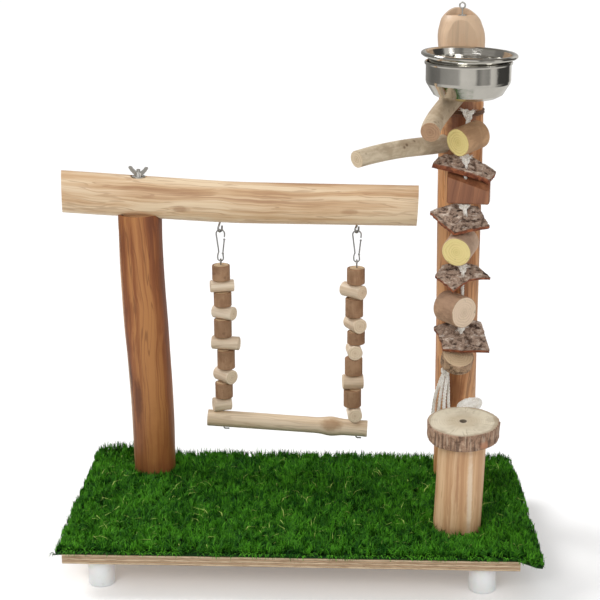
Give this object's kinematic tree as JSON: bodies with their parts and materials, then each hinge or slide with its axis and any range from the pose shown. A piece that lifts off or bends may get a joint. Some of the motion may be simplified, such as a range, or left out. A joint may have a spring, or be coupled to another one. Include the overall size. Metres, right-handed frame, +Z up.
{
  "type": "parrot_play_stand",
  "caption": "Table-top parrot play stand: grass-covered board with log posts and perch, hanging bead swing, branches, steel food bowl, chew toy and a wood-slice step.",
  "frame": {"origin": "floor level under the feet, at the middle of the outer box in X and Y", "axes": "+X to the right along the long side of the board, +Y away from the viewer, +Z up"},
  "size_m": [0.6168, 0.314, 0.6808],
  "materials": {
    "plywood": "matte",
    "grass": "matte",
    "white_plastic": "satin",
    "zinc": "satin",
    "stainless": "polished",
    "perch_wood": "satin",
    "post_wood": "satin",
    "branch_bark": "matte",
    "slice_wood": "matte",
    "bark": "matte",
    "toy_wood": "matte",
    "block_wood": "matte",
    "bead_bark": "matte",
    "bead_wood": "matte",
    "cotton": "matte",
    "twine": "matte"
  },
  "bodies": {
    "stand": {"base_board": "plywood", "grass_mat": "grass", "foot_front_left": "white_plastic", "foot_front_right": "white_plastic", "foot_rear_left": "white_plastic", "foot_rear_right": "white_plastic", "foot_screws": "zinc", "left_post": "post_wood", "post_screws": "zinc", "tall_post": "post_wood", "short_post": "post_wood", "wood_slice": "slice_wood", "slice_screw": "zinc", "perch_bolt": "zinc", "upper_branch": "branch_bark", "lower_branch": "branch_bark", "branch_screws": "zinc", "bowl_holder": "stainless", "holder_spacers": "zinc", "holder_screws": "zinc", "eye_screw": "zinc", "hanger_twine": "twine"},
    "perch": {"perch_log": "perch_wood", "perch_washer": "zinc", "left_hook": "zinc", "right_hook": "zinc"},
    "nut": {"wing_nut": "zinc"},
    "left_link": {"left_clip": "zinc"},
    "right_link": {"right_clip": "zinc"},
    "left_gate": {"left_clip_gate": "zinc"},
    "right_gate": {"right_clip_gate": "zinc"},
    "swing": {"left_wire": "zinc", "right_wire": "zinc", "left_bark_beads": "bead_bark", "right_bark_beads": "bead_bark", "swing_bar": "bead_wood"},
    "toy": {"toy_rope": "cotton", "toy_knots": "cotton", "toy_tassel": "cotton", "toy_log_1": "toy_wood", "toy_log_2": "toy_wood", "toy_log_3": "toy_wood", "toy_log_4": "toy_wood", "toy_bark_1": "bark", "toy_bark_2": "bark", "toy_bark_3": "bark", "toy_bark_4": "bark", "toy_block": "block_wood"},
    "bowl": {"food_bowl": "stainless"},
    "left_bead_1": {"left_cross_bead_1": "bead_wood"},
    "left_bead_2": {"left_cross_bead_2": "bead_wood"},
    "left_bead_3": {"left_cross_bead_3": "bead_wood"},
    "left_bead_4": {"left_cross_bead_4": "bead_wood"},
    "left_bead_5": {"left_cross_bead_5": "bead_wood"},
    "right_bead_1": {"right_cross_bead_1": "bead_wood"},
    "right_bead_2": {"right_cross_bead_2": "bead_wood"},
    "right_bead_3": {"right_cross_bead_3": "bead_wood"},
    "right_bead_4": {"right_cross_bead_4": "bead_wood"},
    "right_bead_5": {"right_cross_bead_5": "bead_wood"}
  },
  "joints": [
    {"name": "perch_turn", "type": "hinge", "parent": "stand", "child": "perch", "pos_m": [-0.2032, 0.105, 0.43], "axis": [0, 0, 1], "continuous": true},
    {"name": "nut_turn", "type": "hinge", "parent": "stand", "child": "nut", "pos_m": [-0.2032, 0.105, 0.4577], "axis": [0, 0, 1], "continuous": true},
    {"name": "left_link_swing", "type": "hinge", "parent": "perch", "child": "left_link", "pos_m": [-0.09921, 0.105, 0.38747], "axis": [1, 0, 0], "range_deg": [-60, 60]},
    {"name": "right_link_swing", "type": "hinge", "parent": "perch", "child": "right_link", "pos_m": [0.0778, 0.105, 0.38747], "axis": [1, 0, 0], "range_deg": [-60, 60]},
    {"name": "left_gate_press", "type": "hinge", "parent": "left_link", "child": "left_gate", "pos_m": [-0.09631, 0.105, 0.35596], "axis": [0, -1, 0], "range_deg": [0, 12], "stiffness_Nm_per_rad": 0.05},
    {"name": "right_gate_press", "type": "hinge", "parent": "right_link", "child": "right_gate", "pos_m": [0.0807, 0.105, 0.35596], "axis": [0, -1, 0], "range_deg": [0, 12], "stiffness_Nm_per_rad": 0.05},
    {"name": "swing_rock", "type": "hinge", "parent": "left_link", "child": "swing", "pos_m": [-0.09921, 0.105, 0.34597], "axis": [1, 0, 0], "range_deg": [-30, 30]},
    {"name": "toy_sway", "type": "hinge", "parent": "stand", "child": "toy", "pos_m": [0.21529, 0.07023, 0.545], "axis": [0, 1, 0], "range_deg": [-8, 8]},
    {"name": "bowl_lift", "type": "slide", "parent": "stand", "child": "bowl", "axis": [0, 0, 1], "range_m": [0, 0.08]},
    {"name": "left_bead_1_spin", "type": "hinge", "parent": "swing", "child": "left_bead_1", "pos_m": [-0.09921, 0.105, 0.31196], "axis": [0, 0, 1], "continuous": true},
    {"name": "left_bead_2_spin", "type": "hinge", "parent": "swing", "child": "left_bead_2", "pos_m": [-0.09921, 0.105, 0.27587], "axis": [0, 0, 1], "continuous": true},
    {"name": "left_bead_3_spin", "type": "hinge", "parent": "swing", "child": "left_bead_3", "pos_m": [-0.09921, 0.105, 0.23377], "axis": [0, 0, 1], "continuous": true},
    {"name": "left_bead_4_spin", "type": "hinge", "parent": "swing", "child": "left_bead_4", "pos_m": [-0.09921, 0.105, 0.18891], "axis": [0, 0, 1], "continuous": true},
    {"name": "left_bead_5_spin", "type": "hinge", "parent": "swing", "child": "left_bead_5", "pos_m": [-0.09921, 0.105, 0.14832], "axis": [0, 0, 1], "continuous": true},
    {"name": "right_bead_1_spin", "type": "hinge", "parent": "swing", "child": "right_bead_1", "pos_m": [0.0778, 0.105, 0.30696], "axis": [0, 0, 1], "continuous": true},
    {"name": "right_bead_2_spin", "type": "hinge", "parent": "swing", "child": "right_bead_2", "pos_m": [0.0778, 0.105, 0.26187], "axis": [0, 0, 1], "continuous": true},
    {"name": "right_bead_3_spin", "type": "hinge", "parent": "swing", "child": "right_bead_3", "pos_m": [0.0778, 0.105, 0.22501], "axis": [0, 0, 1], "continuous": true},
    {"name": "right_bead_4_spin", "type": "hinge", "parent": "swing", "child": "right_bead_4", "pos_m": [0.0778, 0.105, 0.18166], "axis": [0, 0, 1], "continuous": true},
    {"name": "right_bead_5_spin", "type": "hinge", "parent": "swing", "child": "right_bead_5", "pos_m": [0.0778, 0.105, 0.13756], "axis": [0, 0, 1], "continuous": true}
  ],
  "couplings": [
    {"joint": "right_link_swing", "follows": "left_link_swing", "ratio": 1}
  ]
}
